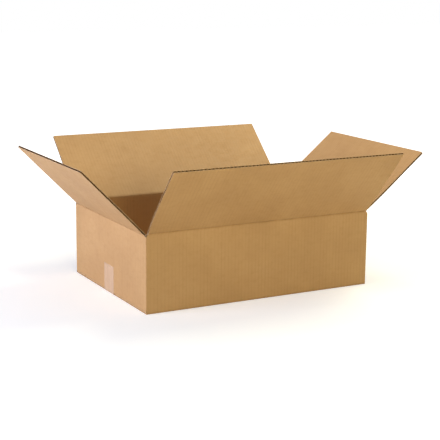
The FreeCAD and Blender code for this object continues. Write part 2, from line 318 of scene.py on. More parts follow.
@dataclass
class PaperMesh:
    """Sheets of paper with a thickness, collected as patches, joined where they meet and closed."""

    weld_step: float = 1e-6
    sharp_deg: float = 35.0
    fronts: list[np.ndarray] = field(default_factory=list)
    backs: list[np.ndarray] = field(default_factory=list)
    blanks: list[np.ndarray] = field(default_factory=list)
    folds: list[np.ndarray] = field(default_factory=list)
    quads: list[np.ndarray] = field(default_factory=list)
    count: int = 0

    def patch(self, front: np.ndarray, back: np.ndarray, blank: np.ndarray, fold: np.ndarray) -> None:
        """Adds a grid of the sheet.

        Args:
            front: points of the sheet's own surface, row by column.
            back: points of its other surface.
            blank: place of each point on the unfolded blank, with the face as its third value.
            fold: painted shade of a fold at each point.
        """
        rows, columns = front.shape[:2]
        index = self.count + np.arange(rows * columns).reshape(rows, columns)
        cells = np.stack([index[:-1, :-1], index[:-1, 1:], index[1:, 1:], index[1:, :-1]], axis=-1)
        self.fronts.append(front.reshape(-1, 3))
        self.backs.append(back.reshape(-1, 3))
        self.blanks.append(blank.reshape(-1, 3))
        self.folds.append(fold.reshape(-1))
        self.quads.append(cells.reshape(-1, 4))
        self.count += rows * columns

    def strip(self, front: np.ndarray, back: np.ndarray, across: np.ndarray, along: np.ndarray) -> None:
        """Adds a grid that has no fold.

        Args:
            front: points of the sheet's own surface, row by column.
            back: points of its other surface.
            across: place of each point across the flutes, or something that broadcasts to it.
            along: its place along the flutes.
        """
        shape = front.shape[:2]
        blank = np.stack([np.broadcast_to(across, shape), np.broadcast_to(along, shape), np.zeros(shape)],
                         axis=-1)
        self.patch(front, back, blank, np.zeros(shape))

    def lay(self, side: Side, track: Track, blank: np.ndarray, depth: np.ndarray, thickness: float,
            face: Face) -> None:
        """Adds a sheet that follows a track at some depth below it.

        Args:
            side: side of the box.
            track: path that the sheet follows.
            blank: places across the flutes where the sheet has vertices.
            depth: depth of the sheet's own surface below the track, row by column.
            thickness: thickness of the paper.
            face: face of the board whose flute lines the sheet shows.
        """
        into = side.direction(np.array(track.into_out), np.array(track.into_up))[:, None, :]
        across = track.slimmed(blank - side.blank_middle)
        base = side.place(across, np.array(track.out)[:, None], np.array(track.up)[:, None])
        front = base + into * depth[..., None]
        width, height = np.meshgrid(blank, np.array(track.height))
        places = np.stack([width, height, np.full_like(width, face.value)], axis=-1)
        fold = np.repeat(np.array(track.fold)[:, None], len(blank), axis=1)
        self.patch(front, front + into * thickness, places, fold)

    def sheet(self, side: Side, track: Track, blank: np.ndarray, board: Board, face: Face) -> None:
        """Adds a liner whose visible surface follows a track and sags between the flutes."""
        depth = board.sag_at(blank, face)[None, :] * np.array(track.wave)[:, None]
        self.lay(side, track, blank, depth, board.liner, face)

    def flutes(self, side: Side, track: Track, blank: np.ndarray, board: Board) -> None:
        """Adds the fluted medium under a track of the board's outer face."""
        depth = board.flute_depth(blank, np.array(track.wave))
        self.lay(side, track, blank, depth, board.medium, Face.OUTER)

    def weld(self) -> tuple[np.ndarray, np.ndarray]:
        """Joins the collected points that lie on each other.

        Returns:
            Which collected point stands for each joined one, and the joined points of each cell.
        """
        sheets = np.hstack([np.concatenate(self.fronts), np.concatenate(self.backs)])
        keys = np.round(sheets / self.weld_step).astype(np.int64)
        _, first, same = np.unique(keys, axis=0, return_index=True, return_inverse=True)
        quads = same.reshape(-1)[np.concatenate(self.quads)]
        used, quads = np.unique(quads, return_inverse=True)
        return first[used], quads.reshape(-1, 4)

    @staticmethod
    def closed(quads: np.ndarray, total: int) -> np.ndarray:
        """Faces of a sheet with its edges closed.

        Args:
            quads: cells of the sheet's own surface.
            total: number of points on each of its surfaces.

        Returns:
            The faces of both surfaces, and after them one face for each piece of open edge.
        """
        edges = np.concatenate([quads[:, [0, 1]], quads[:, [1, 2]], quads[:, [2, 3]], quads[:, [3, 0]]])
        _, place, uses = np.unique(np.sort(edges, axis=1), axis=0, return_index=True, return_counts=True)
        rim = edges[place[uses == 1]]
        rims = np.hstack([rim[:, ::-1], rim + total])
        return np.concatenate([quads, quads[:, ::-1] + total, rims])

    def build(self, name: str, surface: Material, cut: Material) -> Piece:
        """Joins the patches, closes their edges and makes the object.

        Args:
            name: name of the piece.
            surface: material of the flat surfaces.
            cut: material of the cut edges.

        Returns:
            The finished mesh object, linked to the scene.
        """
        first, quads = self.weld()
        faces = self.closed(quads, len(first))
        front = np.concatenate(self.fronts)[first]
        back = np.concatenate(self.backs)[first]
        blank = np.concatenate(self.blanks)[first]
        fold = np.concatenate(self.folds)[first]
        mesh = bpy.data.meshes.new(name)
        mesh.from_pydata(np.concatenate([front, back]).tolist(), [], faces.tolist())
        places = mesh.attributes.new("blank", "FLOAT_VECTOR", "POINT")
        places.data.foreach_set("vector", np.concatenate([blank, blank]).astype(np.float32).ravel())
        # Share of the painted shade along the folds, for the liner's material.
        fold_shade_layer = mesh.attributes.new("fold", "FLOAT", "POINT")
        fold_shade_layer.data.foreach_set("value", np.concatenate([fold, fold]).astype(np.float32))
        mesh.materials.append(surface)
        mesh.materials.append(cut)
        slots = np.full(len(faces), Paper.SURFACE.value, np.int32)
        slots[2 * len(quads):] = Paper.CUT.value
        mesh.polygons.foreach_set("material_index", slots)

        shell = bmesh.new()
        shell.from_mesh(mesh)
        bmesh.ops.recalc_face_normals(shell, faces=shell.faces)
        shell.to_mesh(mesh)
        shell.free()
        mesh.shade_smooth()
        mesh.set_sharp_from_angle(angle=math.radians(self.sharp_deg))
        mesh.validate()
        piece = bpy.data.objects.new(name, mesh)
        bpy.context.scene.collection.objects.link(piece)
        return piece


@dataclass(frozen=True)
class Grain:
    """Cloudy noise: how often it changes for each metre along each axis, and its finer layers."""

    scale: Triple
    detail: float = 3.0
    roughness: float = 0.55


@dataclass(frozen=True)
class Band:
    """Range of a value, and the range that it is mapped to."""

    low: float
    high: float
    to_low: float = 0.0
    to_high: float = 1.0


class Graph:
    """A material's node tree, with a short way to add and link its nodes."""

    def __init__(self, name: str) -> None:
        """Makes an empty material.

        Args:
            name: name of the material.
        """
        self.material = bpy.data.materials.new(name)
        self.material.use_nodes = True
        self.tree = self.material.node_tree
        self.tree.nodes.clear()

    def node(self, kind: str, settings: dict | None = None, **inputs: object) -> bpy.types.Node:
        """Adds a node.

        Args:
            kind: Blender's name of the node type.
            settings: properties of the node.
            inputs: values or output sockets by input name, with underscores for spaces.

        Returns:
            The node.
        """
        made = self.tree.nodes.new(kind)
        for key, value in (settings or {}).items():
            setattr(made, key, value)
        for key, value in inputs.items():
            self.feed(made.inputs[key.replace("_", " ")], value)
        return made

    def feed(self, socket: Socket, value: object) -> None:
        """Links an output socket to an input, or sets the input's own value.

        Args:
            socket: the input.
            value: output socket, or a value.
        """
        if isinstance(value, Socket):
            self.tree.links.new(value, socket)
        else:
            socket.default_value = value

    def stored(self, name: str, output: str) -> Socket:
        """Socket of a value that the meshes keep at each vertex."""
        return self.node("ShaderNodeAttribute", {"attribute_name": name}).outputs[output]

    def math(self, operation: str, *terms: object) -> Socket:
        """Adds a sum of numbers.

        Args:
            operation: Blender's name of the operation.
            terms: its values or sockets.

        Returns:
            The result's socket.
        """
        made = self.node("ShaderNodeMath", {"operation": operation})
        for socket, value in zip(made.inputs, terms):
            self.feed(socket, value)
        return made.outputs[0]

    def between(self, value: object, band: Band) -> Socket:
        """Maps a value smoothly through a band, held at both ends."""
        made = self.node("ShaderNodeMapRange", {"interpolation_type": "SMOOTHSTEP"}, Value=value,
                         From_Min=band.low, From_Max=band.high, To_Min=band.to_low, To_Max=band.to_high)
        return made.outputs[0]

    def noise(self, where: Socket, grain: Grain) -> Socket:
        """Adds cloudy noise.

        Args:
            where: place on the blank.
            grain: how fine the noise is.

        Returns:
            The noise from 0 to 1, about a half on average.
        """
        stretched = self.node("ShaderNodeMapping", {"vector_type": "POINT"}, Vector=where, Scale=grain.scale)
        made = self.node("ShaderNodeTexNoise", None, Vector=stretched.outputs[0], Scale=1.0,
                         Detail=grain.detail, Roughness=grain.roughness)
        return made.outputs["Fac"]

    def tint(self, base: object, other: object, share: object) -> Socket:
        """Mixes one colour into another.

        Args:
            base: first colour or its socket.
            other: second colour or its socket.
            share: how much of the second, 0 to 1.

        Returns:
            The mixed colour's socket.
        """
        made = self.tree.nodes.new("ShaderNodeMix")
        made.data_type = "RGBA"
        self.feed(made.inputs[0], share)
        self.feed(made.inputs[6], base)
        self.feed(made.inputs[7], other)
        return made.outputs[2]

    def bump(self, height: Socket, strength: float, distance: float) -> Socket:
        """Adds a fine relief and gives the normals that show it."""
        made = self.node("ShaderNodeBump", None, Strength=strength, Distance=distance, Height=height)
        return made.outputs[0]

    def finish(self, shader: bpy.types.Node) -> Material:
        """Sends the shader to the output.

        Args:
            shader: the node that makes the surface.

        Returns:
            The finished material.
        """
        output = self.node("ShaderNodeOutputMaterial")
        self.tree.links.new(shader.outputs[0], output.inputs["Surface"])
        return self.material


@dataclass(frozen=True)
class KraftLiner:
    """Brown kraft liner: cloudy fibres, specks, painted shade along its folds and painted shade lines over
    the flutes.
    """

    pitch: float
    name: str = "kraft_liner"
    base: Colour = linear(182, 142, 94)
    dark: Colour = linear(161, 123, 79)
    light: Colour = linear(197, 158, 110)
    speck: Colour = linear(104, 76, 50)
    # Painted shade along the folds and creases.
    crease: Colour = linear(150, 112, 66)
    clouds: Grain = Grain((9, 9, 3))
    clouds_dark: Band = Band(0.4, 0.75, 0.0, 0.30)
    clouds_light: Band = Band(0.55, 0.25, 0.0, 0.30)
    mottle: Grain = Grain((70, 110, 3), 4.0, 0.6)
    mottle_dark: Band = Band(0.45, 0.8, 0.0, 0.25)
    fibres: Grain = Grain((260, 1500, 3), 3.0, 0.6)
    fibres_light: Band = Band(0.55, 0.85, 0.0, 0.5)
    fibres_dark: Band = Band(0.45, 0.15, 0.0, 0.5)
    # Painted shade lines over the flute tips.
    line: Band = Band(0.2, 1.0)
    line_strength: float = 0.32
    line_choice: Grain = Grain((70, 2.5, 3), 2.0, 0.6)
    line_chosen: Band = Band(0.3, 0.7, 0.35)
    line_breaks: Grain = Grain((40, 26, 3), 2.0, 0.6)
    line_broken: Band = Band(0.3, 0.6, 0.5)
    specks: Grain = Grain((900, 900, 3), 1.0, 0.5)
    speck_share: Band = Band(0.74, 0.80, 0.0, 0.5)
    # How strongly the painted fold shade shows, patchy with the mottle.
    worn: Band = Band(0.2, 0.8, 0.25, 0.75)
    relief_fibres: float = 0.6
    relief_mottle: float = 0.4
    relief_strength: float = 0.25
    relief_depth: float = 0.3 * MM
    roughness: Band = Band(0.2, 0.8, 0.56, 0.70)
    specular: float = 0.35

    def make(self) -> Material:
        """Builds the material.

        Returns:
            The material.
        """
        graph = Graph(self.name)
        where = graph.stored("blank", "Vector")
        # Share of the painted fold shade, kept at each vertex.
        fold = graph.stored("fold", "Fac")
        clouds = graph.noise(where, self.clouds)
        mottle = graph.noise(where, self.mottle)
        fibres = graph.noise(where, self.fibres)
        colour = graph.tint(self.base, self.dark, graph.between(clouds, self.clouds_dark))
        colour = graph.tint(colour, self.light, graph.between(clouds, self.clouds_light))
        colour = graph.tint(colour, self.dark, graph.between(mottle, self.mottle_dark))
        colour = graph.tint(colour, self.light, graph.between(fibres, self.fibres_light))
        colour = graph.tint(colour, self.dark, graph.between(fibres, self.fibres_dark))
        # Painted shade lines over the flute tips.
        colour = graph.tint(colour, self.dark, self.flute_lines(graph, where))
        specks = graph.noise(where, self.specks)
        colour = graph.tint(colour, self.speck, graph.between(specks, self.speck_share))
        # Painted shade along the folds, patchy with the mottle.
        worn = graph.math("MULTIPLY", fold, graph.between(mottle, self.worn))
        colour = graph.tint(colour, self.crease, worn)

        relief = graph.math("ADD", graph.math("MULTIPLY", fibres, self.relief_fibres),
                            graph.math("MULTIPLY", mottle, self.relief_mottle))
        shader = graph.node("ShaderNodeBsdfPrincipled", None, Base_Color=colour,
                            Roughness=graph.between(mottle, self.roughness),
                            Normal=graph.bump(relief, self.relief_strength, self.relief_depth))
        shader.inputs["Specular IOR Level"].default_value = self.specular
        return graph.finish(shader)

    def flute_lines(self, graph: Graph, where: Socket) -> Socket:
        """Adds painted shade lines over the flute tips, some stronger than others, broken along their
        length.

        Args:
            graph: the material's node tree.
            where: place on the blank.

        Returns:
            Share of the dark colour, painted as shade.
        """
        parts = graph.node("ShaderNodeSeparateXYZ", None, Vector=where)
        turns = graph.math("DIVIDE", parts.outputs["X"], self.pitch)
        shifted = graph.math("ADD", turns, parts.outputs["Z"])
        ridge = graph.math("COSINE", graph.math("MULTIPLY", shifted, 2 * math.pi))
        chosen = graph.between(graph.noise(where, self.line_choice), self.line_chosen)
        broken = graph.between(graph.noise(where, self.line_breaks), self.line_broken)
        strength = graph.math("MULTIPLY", chosen, broken)
        line = graph.math("MULTIPLY", graph.between(ridge, self.line), strength)
        return graph.math("MULTIPLY", line, self.line_strength)


@dataclass(frozen=True)
class PlainPaper:
    """Unprinted paper in one brown: the fluted medium, or the cut edge of a liner."""

    name: str
    base: Colour
    shade: Colour
    mottle: Grain = Grain((120, 160, 3), 3.0, 0.6)
    mottle_dark: Band = Band(0.35, 0.75, 0.0, 0.7)
    fibres: Grain = Grain((500, 1600, 3), 2.0, 0.6)
    relief_strength: float = 0.3
    relief_depth: float = 0.2 * MM
    roughness: float = 0.8
    specular: float = 0.25

    def make(self) -> Material:
        """Builds the material.

        Returns:
            The material.
        """
        graph = Graph(self.name)
        where = graph.stored("blank", "Vector")
        mottle = graph.noise(where, self.mottle)
        fibres = graph.noise(where, self.fibres)
        colour = graph.tint(self.base, self.shade, graph.between(mottle, self.mottle_dark))
        shader = graph.node("ShaderNodeBsdfPrincipled", None, Base_Color=colour, Roughness=self.roughness,
                            Normal=graph.bump(fibres, self.relief_strength, self.relief_depth))
        shader.inputs["Specular IOR Level"].default_value = self.specular
        return graph.finish(shader)


@dataclass(frozen=True)
class ClearTape:
    """Clear packing film, lightly wrinkled, with greyer streaks along it."""

    name: str = "clear_tape"
    base: Colour = linear(236, 204, 168)
    grey: Colour = linear(224, 192, 160)
    streaks: Grain = Grain((62, 3, 3), 1.0, 0.5)
    streak_grey: Band = Band(0.4, 0.65)
    streak_alpha: Band = Band(0.35, 0.65, 0.34, 0.46)
    bubbles: Grain = Grain((90, 60, 3), 2.0, 0.5)
    roughness: Band = Band(0.3, 0.7, 0.34, 0.54)
    relief_strength: float = 0.12
    relief_depth: float = 0.3 * MM

    def make(self) -> Material:
        """Builds the material.

        Returns:
            The material.
        """
        graph = Graph(self.name)
        where = graph.stored("blank", "Vector")
        streaks = graph.noise(where, self.streaks)
        bubbles = graph.noise(where, self.bubbles)
        colour = graph.tint(self.base, self.grey, graph.between(streaks, self.streak_grey))
        shader = graph.node("ShaderNodeBsdfPrincipled", None, Base_Color=colour,
                            Roughness=graph.between(bubbles, self.roughness),
                            Alpha=graph.between(streaks, self.streak_alpha),
                            Normal=graph.bump(bubbles, self.relief_strength, self.relief_depth))
        return graph.finish(shader)


@dataclass(frozen=True)
class Finishes:
    """The box's materials, made once and shared by its pieces."""

    liner: Material
    flute: Material
    cut: Material
    film: Material

    @classmethod
    def make(cls, board: Board) -> "Finishes":
        """Builds the materials.

        Args:
            board: sizes of the board, whose flutes show in the liner.

        Returns:
            The four materials.
        """
        liner = KraftLiner(board.pitch).make()
        # The medium's own brown, set darker as painted shade for the hollows between its flutes.
        flute = PlainPaper("fluted_medium", linear(112, 82, 54), linear(88, 64, 42)).make()
        # Pale cut paper, made paler still as painted light on edges that lie in shade.
        cut = PlainPaper("cut_paper", linear(230, 203, 168), linear(206, 174, 134)).make()
        return cls(liner, flute, cut, ClearTape().make())


@dataclass
class CartonSize:
    """Sizes of the box in metres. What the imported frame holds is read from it."""

    board: Board = Board()
    # Outside of the upright folds, outside of the bottom creases, and the inner liner at both.
    fold_radius: float = 3.0 * MM
    crease_radius: float = 1.5 * MM
    inner_radius: float = 0.5 * MM
    # How far the slots run past the creases, and the gaps between bottom flaps that lie or meet.
    notch_depth: float = 1.5 * MM
    layer_gap: float = 0.2 * MM
    flap_gap: float = 2.0 * MM
    # The glue tab, and the right panel's free edge before the fold that it is glued over.
    seam_setback: float = 0.5 * MM
    tab_width: float = 35.0 * MM
    tab_setback: float = 6.0 * MM
    tab_taper: float = 8.0 * MM
    # Half the width of a short bottom flap, and the slots beside the top flaps in flutes.
    short_panel_half: float = 176.0 * MM
    slot_pitches: float = 1.5

    def __post_init__(self) -> None:
        """Reads the joints' places and the nodes' boxes."""
        self.joints = {joint["name"]: joint for joint in frame["joints"]}
        low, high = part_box("carton_body")
        self.half_x = high.x
        self.half_y = high.y
        self.floor = low.z
        self.short_top = self.joints["left_crease"]["pos_m"][2]
        self.step = self.board.thickness + self.layer_gap
        self.short_bottom = self.floor + self.step
        self.post_bottom = self.short_bottom + self.notch_depth
        self.post_top = self.short_top - self.notch_depth
        self.inner_start = self.short_bottom + self.board.thickness + self.inner_radius
        self.long_depth = self.half_y - self.flap_gap / 2
        self.short_depth = self.long_depth + self.step
        self.long_flap_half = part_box("front_flap")[1].x
        self.short_flap_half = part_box("left_flap")[1].y

    def lean(self, joint: str) -> float:
        """Lean of a flap at rest, outwards from upright, in radians."""
        return math.radians(-self.joints[joint]["range_deg"][0] - 90)

    def sides(self) -> list[Side]:
        """The four sides of the box, in the order that the blank passes them.

        Returns:
            Back, left, front and right sides. The blank's own coordinate is 0 at the front flap's left end.
        """
        slot = self.slot_pitches * self.board.pitch
        front_middle = self.long_flap_half
        left_middle = -slot - self.short_flap_half
        back_middle = left_middle - self.short_flap_half - slot - self.long_flap_half
        right_middle = front_middle + self.long_flap_half + slot + self.short_flap_half
        long_sizes = (self.long_flap_half, self.long_flap_half, self.long_depth)
        short_sizes = (self.short_panel_half, self.short_flap_half, self.short_depth)
        places = [
            ("back", (0, 1), back_middle, long_sizes),
            ("left", (-1, 0), left_middle, short_sizes),
            ("front", (0, -1), front_middle, long_sizes),
            ("right", (1, 0), right_middle, short_sizes),
        ]
        made = []
        for name, out, middle, sizes in places:
            hinge = tuple(self.joints[f"{name}_crease"]["pos_m"])
            made.append(Side(name, out, hinge, self.lean(f"{name}_crease"), middle, *sizes,
                             self.post_top - hinge[2]))
        return made


@dataclass
class WallLiner:
    """One liner of the four walls, gathered column by column, anticlockwise as seen from above."""

    board: Board
    face: Face
    depth: float
    radius: float
    fold_steps: int = 6
    # Share of the painted fold shade on the rounded upright folds.
    upright_fold_shade: float = 0.5
    columns: list[tuple] = field(default_factory=list)

    @property
    def inward(self) -> int:
        """Sense in which the paper lies behind its own surface: -1 into the box, 1 out of it."""
        return -1 if self.face is Face.OUTER else 1

    def add_flat(self, side: Side, low: float, high: float, kept: tuple[float, ...]) -> None:
        """Adds a flat wall.

        Args:
            side: side of the box.
            low: where the wall starts along its crease, from the middle.
            high: where it ends.
            kept: places on the blank that need a line of vertices.
        """
        out = np.array(side.out)
        along = np.array(side.along)
        reach = side.hinge[0] * side.out[0] + side.hinge[1] * side.out[1] - self.depth
        blank = self.board.lines(side.blank_middle + low, side.blank_middle + high,
                                 self.board.liner_steps, kept)
        for place, sag in zip(blank, self.board.sag_at(blank, self.face)):
            point = out * reach + along * (place - side.blank_middle)
            self.columns.append((point, out * self.inward, place, sag, 0.0))

    def add_fold(self, centre: Pair, start: float, blank_end: float,
                 blank_start: float | None = None) -> None:
        """Adds a rounded upright fold of a quarter turn, without the column that the next wall starts with.

        Args:
            centre: centre of the fold, from above.
            start: angle at which it starts.
            blank_end: place on the blank where it ends.
            blank_start: place where it starts, or None where it carries on from the last wall.
        """
        shares = np.linspace(0, 1, self.fold_steps + 1)[:-1]
        if blank_start is None:
            shares = shares[1:]
            blank_start = self.columns[-1][2]
        for share in shares:
            angle = start + share * QUARTER_TURN
            ray = np.array([math.cos(angle), math.sin(angle)])
            place = blank_start + (blank_end - blank_start) * share
            point = np.array(centre) + ray * self.radius
            self.columns.append((point, ray * self.inward, place, 0.0, self.upright_fold_shade))

    def add_to(self, mesh: PaperMesh, heights: np.ndarray) -> None:
        """Adds the liner to a mesh.

        Args:
            mesh: mesh of the sheet.
            heights: heights of its rows.
        """
        points, intos, places, sags, folds = (np.array(values) for values in zip(*self.columns))
        shape = (len(heights), len(points))
        into = np.zeros((*shape, 3))
        into[..., :2] = intos[None]
        front = np.empty((*shape, 3))
        front[..., :2] = points[None]
        front[..., 2] = heights[:, None]
        front += into * sags[None, :, None]
        blank = np.empty((*shape, 3))
        blank[..., 0] = places[None]
        blank[..., 1] = heights[:, None]
        blank[..., 2] = self.face.value
        mesh.patch(front, front + into * self.board.liner, blank, np.broadcast_to(folds, shape))


@dataclass
class FoldedSheet:
    """The box without its top flaps: four panels, bottom flaps and glue tab of one folded board.

    Rows are lines of vertices across a panel or flap. Those next to a crease are given by their distance
    from it, and those further off by shares of the panel's height or of the flap's depth. A mark is how
    far a fold's painted shade reaches, a look is how strong that painted shade is, and what is pressed
    shows less of its flutes.
    """

    node: ClassVar[str] = "carton_body"
    body: ClassVar[str] = "carton"

    size: CartonSize
    # Rows of the walls and of the bottom flaps away from their creases.
    wall_shares: tuple[float, ...] = (0, 0.03, 0.18, 0.34, 0.5, 0.66, 0.82, 0.97, 1.0)
    flap_shares: tuple[float, ...] = (1.0, 0.6, 0.2)
    # The outer and the inner liner at the bottom creases, with their painted fold shade.
    outer_rows: Pair = (8 * MM, 4 * MM)
    outer_mark: float = 3 * MM
    outer_fold_rows: int = 5
    inner_rows: Pair = (14 * MM, 9 * MM)
    inner_mark: float = 4 * MM
    inner_mark_shade: float = 0.6
    inner_fold_rows: int = 4
    pressed: float = 0.3
    # The row of the outer liner between a long bottom flap's crease and its panel.
    wall_start: float = 3 * MM
    wall_start_wave: float = 0.6
    wall_start_shade: float = 0.3
    # How near a crease the flutes are pressed, how far off they are whole, and their top end.
    flutes_pressed: float = 6 * MM
    flutes_whole: float = 12 * MM
    flutes_top: float = 0.4
    # The paper pressed over the side edges of the long bottom flaps.
    edge_inset: float = 0.25 * MM
    edge_overlap: float = 0.6
    edge_bulge: float = 0.5 * MM
    edge_end: float = 0.2 * MM
    edge_levels: int = 5
    edge_rows: int = 24
    # The glue tab.
    tab_columns: int = 19
    tab_levels: int = 7

    def __post_init__(self) -> None:
        """Starts the meshes of the liners and of the medium."""
        self.board = self.size.board
        self.liners = PaperMesh()
        self.medium = PaperMesh()

    def build(self, finishes: Finishes) -> list[Piece]:
        """Builds the liners and the medium of the box.

        Args:
            finishes: materials of the box.

        Returns:
            The pieces.
        """
        sides = self.size.sides()
        self.add_walls(Face.OUTER, *sides)
        self.add_walls(Face.INNER, *sides)
        for side in sides:
            self.add_outer_bottom(side)
            self.add_inner_bottom(side)
            self.add_flutes(side)
        self.add_tab(sides[0])
        shell = self.liners.build("carton_shell", finishes.liner, finishes.cut)
        core = self.medium.build("carton_flutes", finishes.flute, finishes.flute)
        for piece in (shell, core):
            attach(piece, self.body)
        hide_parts(self.node)
        return [shell, core]

    def bottom_of(self, side: Side) -> float:
        """Height of the underside of a side's bottom flap. The short flaps lie on the long ones."""
        return self.size.floor if side.is_long else self.size.short_bottom

    def depth_of(self, side: Side) -> float:
        """Depth of a side's bottom flap from the wall's outer face."""
        return self.size.long_depth if side.is_long else self.size.short_depth

    def kept(self, side: Side) -> tuple[float, ...]:
        """Places on the blank where a side's sheets always have a line of vertices.

        Args:
            side: side of the box.

        Returns:
            The ends of the flat wall, outside and inside, and of the bottom flap.
        """
        size = self.size
        half = size.half_x if side.is_long else size.half_y
        inner = half - self.board.thickness - size.inner_radius
        return tuple(side.blank_middle + sign * place for sign in (-1, 1)
                     for place in (half - size.fold_radius, inner, side.panel_half)
                     if place <= half)

    def panel_lines(self, side: Side) -> np.ndarray:
        """Places across the flutes where a panel's liners have vertices."""
        middle = side.blank_middle
        return self.board.lines(middle - side.panel_half, middle + side.panel_half,
                                self.board.liner_steps, self.kept(side))

    def add_walls(self, face: Face, back: Side, left: Side, front: Side, right: Side) -> None:
        """Adds one liner of the four walls, all round the box.

        Args:
            face: the liner.
            back: back of the box.
            left: left end.
            front: front.
            right: right end.
        """
        size = self.size
        outer = face is Face.OUTER
        depth = 0.0 if outer else self.board.thickness
        radius = size.fold_radius if outer else size.inner_radius
        walls = WallLiner(self.board, face, depth, radius)
        arc_x = size.half_x - depth - radius
        arc_y = size.half_y - depth - radius
        seam_x = size.half_x - self.board.thickness - depth - radius
        seam_edge = size.half_y - size.fold_radius - size.seam_setback
        seam_blank = back.blank_middle - seam_x
        # The glued seam's own fold comes first, at the back right, then the walls in turn.
        walls.add_fold((seam_x, arc_y), 0.0, seam_blank, seam_blank - QUARTER_TURN * radius)
        walls.add_flat(back, -seam_x, arc_x, self.kept(back))
        walls.add_fold((-arc_x, arc_y), QUARTER_TURN, left.blank_middle - arc_y)
        walls.add_flat(left, -arc_y, arc_y, self.kept(left))
        walls.add_fold((-arc_x, -arc_y), 2 * QUARTER_TURN, front.blank_middle - arc_x)
        walls.add_flat(front, -arc_x, arc_x, self.kept(front))
        walls.add_fold((arc_x, -arc_y), 3 * QUARTER_TURN, right.blank_middle - arc_y)
        walls.add_flat(right, -arc_y, seam_edge, self.kept(right))
        bottom = size.post_bottom if outer else size.inner_start
        walls.add_to(self.liners, bottom + (size.post_top - bottom) * np.array(self.wall_shares))

    def add_outer_bottom(self, side: Side) -> None:
        """Adds the outer liner of a panel's bottom crease and bottom flap.

        Args:
            side: side of the box.
        """
        size = self.size
        zero = self.bottom_of(side)
        bottom = zero - side.hinge[2]
        top = size.post_bottom - side.hinge[2]
        depth = self.depth_of(side)
        radius = size.crease_radius
        track = Track()
        for place in (*(depth * share for share in self.flap_shares), *self.outer_rows):
            wave = 1.0 if place > self.outer_rows[-1] else self.pressed
            track.add((-place, bottom), (0, 1), zero - place, wave, float(closeness(place, self.outer_mark)))
        angles = np.linspace(-QUARTER_TURN, 0, self.outer_fold_rows)
        track.turn((-radius, bottom + radius), radius, angles, True, zero)
        if side.is_long:
            track.add((0, (top + bottom + radius) / 2), (-1, 0), zero + self.wall_start,
                      self.wall_start_wave, self.wall_start_shade)
            track.add((0, top), (-1, 0), size.post_bottom)
        else:
            track.wave[-1] = 1.0
            track.height[-1] = size.post_bottom
        self.liners.sheet(side, track, self.panel_lines(side), self.board, Face.OUTER)
        if side.is_long:
            self.add_closed_edges(side)

    def add_closed_edges(self, side: Side) -> None:
        """Adds the paper that the slotting knife pressed over the side edges of a long bottom flap.

        Args:
            side: side of the box.
        """
        size = self.size
        liner = self.board.liner
        low = size.floor - side.hinge[2] + liner * self.edge_overlap
        high = low + self.board.thickness - 2 * liner * self.edge_overlap
        levels = np.linspace(low, high, self.edge_levels)
        bulge = -np.sin(np.linspace(0, math.pi, self.edge_levels)) * self.edge_bulge
        outs = -np.linspace(size.long_depth, size.crease_radius + self.edge_end, self.edge_rows)
        for sign in (-1, 1):
            reach = sign * (side.panel_half - self.edge_inset + bulge)
            front = side.place(reach[:, None], outs[None, :], levels[:, None])
            step = side.place(0, 0, 0) - side.place(sign * liner, 0, 0)
            self.liners.strip(front, front + step, side.blank_middle + reach[:, None],
                              size.floor + outs[None, :])

    def add_inner_bottom(self, side: Side) -> None:
        """Adds the inner liner of a panel's bottom crease and bottom flap.

        Args:
            side: side of the box.
        """
        size = self.size
        thickness = self.board.thickness
        radius = size.inner_radius
        base = self.bottom_of(side) + thickness
        level = base - side.hinge[2]
        depth = self.depth_of(side)
        track = Track()
        for place in (*(depth * share for share in self.flap_shares), *self.inner_rows):
            wave = 1.0 if place > self.inner_rows[-1] else self.pressed
            mark = float(closeness(place - thickness, self.inner_mark)) * self.inner_mark_shade
            track.add((-place, level), (0, -1), base - place, wave, mark)
        angles = np.linspace(-QUARTER_TURN, 0, self.inner_fold_rows)
        track.turn((-thickness - radius, level + radius), radius, angles, False, base)
        if side.is_long:
            track.add((-thickness, size.inner_start - side.hinge[2]), (1, 0), size.inner_start)
        else:
            track.wave[-1] = 1.0
        self.liners.sheet(side, track, self.panel_lines(side), self.board, Face.INNER)

    def add_flutes(self, side: Side) -> None:
        """Adds the medium in a panel and in its bottom flap.

        Args:
            side: side of the box.
        """
        size = self.size
        zero = self.bottom_of(side)
        bottom = zero - side.hinge[2]
        depth = self.depth_of(side)
        steps = self.board.medium_steps
        middle = side.blank_middle
        pressed = self.flutes_pressed
        whole = self.flutes_whole
        flap = Track()
        flap.add((-depth, bottom), (0, 1), zero - depth)
        flap.add((-whole, bottom), (0, 1), zero - whole)
        flap.add((-pressed, bottom), (0, 1), zero - pressed, self.pressed)
        blank = self.board.lines(middle - side.panel_half, middle + side.panel_half, steps)
        self.medium.flutes(side, flap, blank, self.board)

        top = size.post_top - side.hinge[2]
        wall = Track()
        wall.add((0, bottom + pressed), (-1, 0), zero + pressed, self.pressed)
        wall.add((0, bottom + whole), (-1, 0), zero + whole)
        wall.add((0, top - pressed), (-1, 0), size.post_top - pressed)
        wall.add((0, top), (-1, 0), size.post_top, self.flutes_top)
        half = min(side.panel_half, size.half_x - self.board.thickness)
        blank = self.board.lines(middle - half, middle + half, steps)
        self.medium.flutes(side, wall, blank, self.board)

